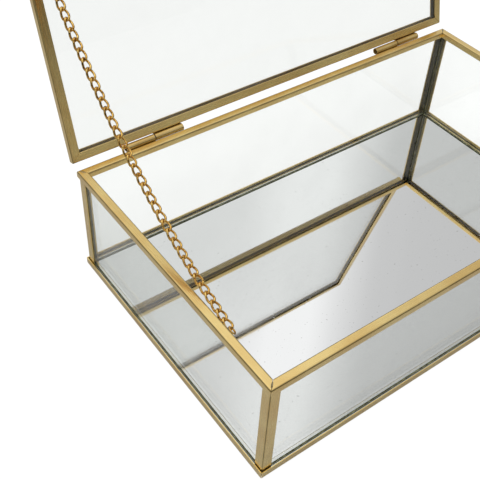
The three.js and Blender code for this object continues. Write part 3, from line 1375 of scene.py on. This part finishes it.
@dataclass
class StayChain:
    """A curb chain of twisted wire links between two soldered eyelets."""

    lid_up: Vector
    links_per_segment: int = 2
    wire: float = 0.47 * MM
    half_length: float = 2.47 * MM
    half_width: float = 1.32 * MM
    pitch: float = 3.97 * MM
    eyelet_ring: float = 1.55 * MM
    eyelet_wire: float = 0.36 * MM
    foot_bead: tuple[float, float, float] = (0.95 * MM, 0.8 * MM, 0.7 * MM)
    loop_points: int = 40
    wire_sides: int = 10

    def segment_nodes(self) -> list[str]:
        """The chain's CAD nodes, from the box end to the lid end."""
        return sorted(name for name in frame["nodes"] if name.startswith("chain_segment_"))

    def joints_along(self, nodes: Sequence[str]) -> list[Vector]:
        """The points where the segments meet, found between neighbouring segments.

        Args:
            nodes: The segments' node names in order.

        Returns:
            One more point than there are segments.
        """
        ends = []
        for node in nodes:
            low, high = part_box(node)
            middle_x = (low.x + high.x) / 2
            ends.append((Vector((middle_x, low.y, low.z)), Vector((middle_x, high.y, high.z))))
        inner = [(this[1] + after[0]) / 2 for this, after in zip(ends, ends[1:])]
        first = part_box("eyelet_box")
        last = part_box("eyelet_lid")
        return [(first[0] + first[1]) / 2, *inner, (last[0] + last[1]) / 2]

    def link_path(self, centre: Vector, way: Vector) -> list[Vector]:
        """The wire's centre line in one twisted link.

        Args:
            centre: The link's centre.
            way: The unit direction of the chain there.

        Returns:
            Points round the link.
        """
        across = Vector((1.0, 0.0, 0.0))
        over = way.cross(across).normalized()
        path = []
        for step in range(self.loop_points):
            turn = 2 * math.pi * step / self.loop_points
            along = self.half_length * math.cos(turn)
            side = self.half_width * math.sin(turn)
            lift = 0.5 * self.half_width * math.sin(2 * turn)
            path.append(centre + way * along + across * side + over * lift)
        return path

    def eyelet(
        self, workshop: Workshop, name: str, at: Vector, way: Vector, foot: Vector, body: str
    ) -> None:
        """Builds one wire eyelet with its solder foot.

        The ring leans by 45 degrees, so that it crosses the last link's wire.

        Args:
            workshop: The finishes.
            name: The eyelet's node.
            at: The chain's end point.
            way: The unit direction from the eyelet along the chain.
            foot: Where the eyelet is soldered to its rail.
            body: The body that it rides on.
        """
        across = Vector((1.0, 0.0, 0.0))
        over = way.cross(across).normalized()
        lean = (across + over).normalized()
        overlap = self.half_length - self.pitch / 2
        centre = at + way * (overlap - self.eyelet_ring)
        path = []
        for step in range(self.loop_points):
            turn = 2 * math.pi * step / self.loop_points
            offset = way * math.cos(turn) + lean * math.sin(turn)
            path.append(centre + offset * self.eyelet_ring)
        shape = bmesh.new()
        closed_tube(path, self.eyelet_wire, self.wire_sides, shape)
        piece = finish_object(f"wire_{name}", shape, [workshop.gilt], 80)
        settle(piece, body, [name])
        blob = bmesh.new()
        solder_bead(blob, foot, self.foot_bead, 0.0, foot.z / MM)
        bead = finish_object(f"solder_{name}", blob, [workshop.solder], 80)
        settle(bead, body)

    def build(self, workshop: Workshop) -> None:
        """Builds, dresses and places the links and the eyelets."""
        nodes = self.segment_nodes()
        meets = self.joints_along(nodes)
        for number, (node, start, end) in enumerate(zip(nodes, meets, meets[1:]), 1):
            way = (end - start).normalized()
            shape = bmesh.new()
            for link in range(self.links_per_segment):
                share = (link + 0.5) / self.links_per_segment
                path = self.link_path(start.lerp(end, share), way)
                closed_tube(path, self.wire, self.wire_sides, shape)
            piece = finish_object(f"twisted_links_{number:02d}", shape, [workshop.gilt], 80)
            settle(piece, f"chain_{number:02d}", [node])
        start_way = (meets[1] - meets[0]).normalized()
        end_way = (meets[-2] - meets[-1]).normalized()
        box_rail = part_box("top_rail_left")[1]
        box_foot = Vector((box_rail.x + 0.45 * MM, meets[0].y - 0.6 * MM, meets[0].z + 0.7 * MM))
        self.eyelet(workshop, "eyelet_box", meets[0], start_way, box_foot, "box")
        lid_foot = meets[-1] + self.lid_up * 1.25 * MM + Vector((-1.6 * MM, 0, 0))
        self.eyelet(workshop, "eyelet_lid", meets[-1], end_way, lid_foot, "lid")


@dataclass(frozen=True)
class Opening:
    """How far and about what axis the lid is opened."""

    open_degrees: float = 105.0

    @property
    def hinge_axis(self) -> Vector:
        """A point on the lid's hinge axis."""
        joint = next(j for j in frame["record"]["behaviour"]["joints"] if j["name"] == "lid_hinge")
        return Vector(joint["pos_m"])

    @property
    def opened(self) -> Matrix:
        """The turn that takes the lid from closed, as its pieces are drawn, to open."""
        axis = self.hinge_axis
        turn = Matrix.Rotation(math.radians(-self.open_degrees), 4, "X")
        return Matrix.Translation(axis) @ turn @ Matrix.Translation(-axis)

    @property
    def lid_up(self) -> Vector:
        """The unit direction that is up on the closed lid, now that it is open."""
        return (self.opened.to_3x3() @ Vector((0.0, 0.0, 1.0))).normalized()


@dataclass
class Lid:
    """The lid: a pane in four channel strips."""

    sizes: Proportions
    opened: Matrix
    thickness: float = 3.8 * MM
    above_body: float = 0.30 * MM
    pane_inset: float = 0.8 * MM
    pane_thickness: float = 2.0 * MM

    def build(self, workshop: Workshop) -> None:
        """Builds, dresses and places the lid's pieces, opened."""
        base = self.sizes.body_height + self.above_body
        channel = FoldedSheet(
            [
                (self.sizes.rail_width, 0.0),
                (0.0, 0.0),
                (0.0, self.thickness),
                (self.sizes.rail_width, self.thickness),
            ],
            self.sizes.strip,
            self.sizes.soft_radius,
        )
        rails = StripFrame(
            "lid_rail", "lid_channel", channel, base, self.sizes, "lid", 11.0, self.opened
        )
        rails.build(workshop)
        rails.corner_beads(workshop, self.thickness)
        half_x = self.sizes.width / 2 - self.pane_inset
        half_y = self.sizes.depth / 2 - self.pane_inset
        middle = base + self.thickness / 2
        low = Vector((-half_x, -half_y, middle - self.pane_thickness / 2))
        high = Vector((half_x, half_y, middle + self.pane_thickness / 2))
        GlassPane("lid_glass", "lid_pane", "lid", self.opened).build(
            low, high, workshop.lid_glass, workshop.glass_edge, "glass"
        )


@dataclass
class BoxBody:
    """The box: base strips, floor, walls, posts and top strips."""

    sizes: Proportions
    base_height: float = 3.8 * MM
    base_flange: float = 3.5 * MM
    cap_side: float = 3.1 * MM
    cap_lip: float = 2.8 * MM
    far_edge_share: float = 0.6

    def build(self, workshop: Workshop) -> None:
        """Builds, dresses and places everything that stays still."""
        base_sheet = FoldedSheet(
            [(self.base_flange, 0.0), (0.0, 0.0), (0.0, self.base_height)],
            self.sizes.strip,
            self.sizes.bend_radius,
        )
        low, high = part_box("base_rail_front")
        base_sizes = Proportions(width=high.x * 2, depth=-low.y * 2)
        StripFrame("base_rail", "base_angle", base_sheet, low.z, base_sizes, "box", 5.0).build(
            workshop
        )
        Floor().build(workshop)
        for side in Side:
            pane_low, pane_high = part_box(f"glass_{side.label}")
            pane = GlassPane(f"glass_{side.label}", f"wall_pane_{side.label}", "box")
            # The rear and right panes show a wider band of the dark edge finish, and with it more of
            # its painted shade
            if side in (Side.REAR, Side.RIGHT):
                pane.edge_share = self.far_edge_share
            pane.build(pane_low, pane_high, workshop.glass, workshop.glass_edge, "glass")
        CornerPosts(self.sizes).build(workshop)
        top = self.sizes.body_height
        width = self.sizes.rail_width
        cap_sheet = FoldedSheet(
            [(0.0, top - self.cap_side), (0.0, top), (width, top), (width, top - self.cap_lip)],
            self.sizes.strip,
            self.sizes.soft_radius,
        )
        cap = StripFrame("top_rail", "top_cap", cap_sheet, 0.0, self.sizes, "box", 2.0)
        cap.build(workshop)
        cap.corner_beads(workshop, top)


# The studio


@dataclass
class Viewpoint:
    """The camera: where it stands, how it is turned in degrees and its lens."""

    place: tuple[float, float, float] = (-0.2182, -0.1837, 0.2812)
    tip: float = 45.39
    roll: float = -2.38
    heading: float = -35.89
    lens_mm: float = 61.7
    sensor_mm: float = 36.0

    def build(self) -> None:
        """Makes the camera and looks through it."""
        data = bpy.data.cameras.new("view_camera")
        data.lens = self.lens_mm
        data.sensor_width = self.sensor_mm
        data.clip_start = 0.01
        data.clip_end = 20.0
        camera = bpy.data.objects.new("view_camera", data)
        camera.location = self.place
        camera.rotation_euler = [math.radians(turn) for turn in (self.tip, self.roll, self.heading)]
        bpy.context.scene.collection.objects.link(camera)
        bpy.context.scene.camera = camera
        LOG.info("camera at %s", self.place)


@dataclass
class Studio:
    """A white sweep lit by large soft lights, with dark cards that give the brass its dark lines."""

    floor_reach: float = 6.0
    floor_drop: float = 0.0004
    floor_glow: float = 0.90
    paper: float = 0.19
    burn_base: float = 0.07
    bright_axis: tuple[float, float, float] = (0.747, -0.680, 0.072)
    horizon_level: float = 0.22
    world_level: float = 1.0
    ceiling_extra: float = 0.8

    def build(self) -> None:
        """Makes the floor, the world, the lights and the cards."""
        self.build_floor()
        self.build_world()
        self.add_light("overhead_softbox", (-0.32, -0.20, 1.6), 1.0, 44.0)
        self.add_light("rear_softbox", (-0.5, 1.5, 0.9), 0.8, 4.0)
        self.add_card("dark_card_front", (-0.25, -1.1, 0.25), (1.8, 0.45), 0.0)
        self.add_card("dark_card_left", (-1.25, 0.1, 0.28), (1.6, 0.45), -90.0)
        scene = bpy.context.scene
        scene.view_settings.view_transform = "Standard"
        scene.cycles.transparent_max_bounces = 32
        scene.cycles.max_bounces = 12

    def build_floor(self) -> None:
        """Makes the plain white floor, a fine grid that stays flat."""
        shape = bmesh.new()
        bmesh.ops.create_grid(shape, x_segments=8, y_segments=8, size=self.floor_reach)
        bmesh.ops.translate(shape, verts=shape.verts, vec=(0, 0, -self.floor_drop))
        material = bpy.data.materials.new("white_paper_sweep")
        material.use_nodes = True
        tree = material.node_tree
        tree.nodes.clear()
        # Lit so brightly that it burns out to white, while what it sends to the metal stays dull
        lit = add_node(
            tree,
            "ShaderNodeBsdfPrincipled",
            {
                "Base Color": grey(self.burn_base),
                "Roughness": 0.9,
                "Emission Color": grey(1.0),
                "Emission Strength": self.floor_glow,
            },
        )
        dull = add_node(tree, "ShaderNodeBsdfDiffuse", {"Color": grey(self.paper)})
        path = add_node(tree, "ShaderNodeLightPath")
        paper = add_node(
            tree,
            "ShaderNodeMixShader",
            {
                0: path.outputs["Is Camera Ray"],
                1: dull.outputs["BSDF"],
                2: lit.outputs["BSDF"],
            },
        )
        add_node(tree, "ShaderNodeOutputMaterial", {"Surface": paper.outputs["Shader"]})
        finish_object("white_floor", shape, [material])

    def build_world(self) -> None:
        """Makes the studio's walls of light: brightest behind the middle, dimmer to both sides."""
        world = bpy.data.worlds.new("studio_walls")
        world.use_nodes = True
        tree = world.node_tree
        tree.nodes.clear()
        bpy.context.scene.world = world
        direction = add_node(tree, "ShaderNodeTexCoord")
        sideways = add_node(
            tree,
            "ShaderNodeVectorMath",
            {0: direction.outputs["Generated"], 1: self.bright_axis},
            operation="DOT_PRODUCT",
        )
        share = add_node(
            tree,
            "ShaderNodeMapRange",
            {"Value": sideways.outputs["Value"], "From Min": -0.5, "From Max": 0.5},
        )
        walls = add_node(tree, "ShaderNodeValToRGB", {"Fac": share.outputs["Result"]})
        walls.color_ramp.interpolation = "CARDINAL"
        levels = (
            (0.0, 0.80),
            (0.46, 0.83),
            (0.51, 0.88),
            (0.55, 1.00),
            (0.58, 1.05),
            (0.62, 0.89),
            (0.66, 0.68),
            (0.70, 0.62),
            (1.0, 0.55),
        )
        ramp_stops(walls, [(place, grey(level)) for place, level in levels])
        height = add_node(tree, "ShaderNodeSeparateXYZ", {0: direction.outputs["Generated"]})
        rise = add_node(
            tree,
            "ShaderNodeMapRange",
            {
                "Value": height.outputs["Z"],
                "From Min": 0.08,
                "From Max": 0.38,
                "To Min": self.horizon_level,
                "To Max": self.world_level,
            },
        )
        ceiling = add_node(
            tree,
            "ShaderNodeMapRange",
            {
                "Value": height.outputs["Z"],
                "From Min": 0.88,
                "From Max": 0.94,
                "To Min": 0.0,
                "To Max": self.ceiling_extra,
            },
        )
        strength = add_node(
            tree,
            "ShaderNodeMath",
            {0: rise.outputs["Result"], 1: ceiling.outputs["Result"]},
            operation="ADD",
        )
        light = add_node(
            tree,
            "ShaderNodeBackground",
            {"Color": walls.outputs["Color"], "Strength": strength.outputs[0]},
        )
        backdrop = add_node(tree, "ShaderNodeBackground", {"Color": grey(1.0), "Strength": 1.0})
        path = add_node(tree, "ShaderNodeLightPath")
        seen = add_node(
            tree,
            "ShaderNodeMixShader",
            {
                0: path.outputs["Is Camera Ray"],
                1: light.outputs["Background"],
                2: backdrop.outputs["Background"],
            },
        )
        add_node(tree, "ShaderNodeOutputWorld", {"Surface": seen.outputs["Shader"]})

    def add_light(self, name: str, place: tuple, size: float, watts: float) -> None:
        """Adds a square soft light that faces the box.

        Reflections show the world's bright ceiling in its place, so that neither the mirror nor
        the glass shows a square of light.

        Args:
            name: Its name.
            place: Where it stands.
            size: Its side.
            watts: Its power.
        """
        data = bpy.data.lights.new(name, "AREA")
        data.size = size
        data.energy = watts
        lamp = bpy.data.objects.new(name, data)
        lamp.location = place
        aim = Vector((0.0, 0.0, 0.05)) - Vector(place)
        lamp.rotation_euler = aim.to_track_quat("-Z", "Y").to_euler()
        lamp.visible_glossy = False
        bpy.context.scene.collection.objects.link(lamp)

    def add_card(self, name: str, place: tuple, size: tuple[float, float], turn: float) -> None:
        """Adds a dark card that only reflections see.

        Args:
            name: Its name.
            place: Its centre.
            size: Its width and height.
            turn: Its turn about Z in degrees.
        """
        shape = bmesh.new()
        bmesh.ops.create_grid(shape, x_segments=4, y_segments=4, size=0.5)
        stand = (
            Matrix.Translation(place)
            @ Matrix.Rotation(math.radians(turn), 4, "Z")
            @ Matrix.Rotation(math.radians(90), 4, "X")
            @ Matrix.Diagonal((size[0], size[1], 1.0, 1.0))
        )
        bmesh.ops.transform(shape, matrix=stand, verts=shape.verts)
        material = bpy.data.materials.new("matt_black_card")
        material.use_nodes = True
        material.node_tree.nodes["Principled BSDF"].inputs["Base Color"].default_value = grey(0.03)
        card = finish_object(name, shape, [material])
        card.visible_camera = False
        card.visible_diffuse = False
        card.visible_shadow = False
        card.visible_transmission = False


def main() -> None:
    """Builds the camera, the box, the lid, the hinges, the chain and the studio, in that order."""
    logging.basicConfig(level=logging.INFO, format="%(message)s")
    workshop = Workshop()
    workshop.dress_frame()
    opening = Opening()
    sizes = Proportions()
    Viewpoint().build()
    BoxBody(sizes).build(workshop)
    Lid(sizes, opening.opened).build(workshop)
    for label in ("left", "right"):
        Hinge(label, opening.hinge_axis, opening.opened).build(workshop)
    StayChain(opening.lid_up).build(workshop)
    Studio().build()


if __name__ == "__main__":
    main()
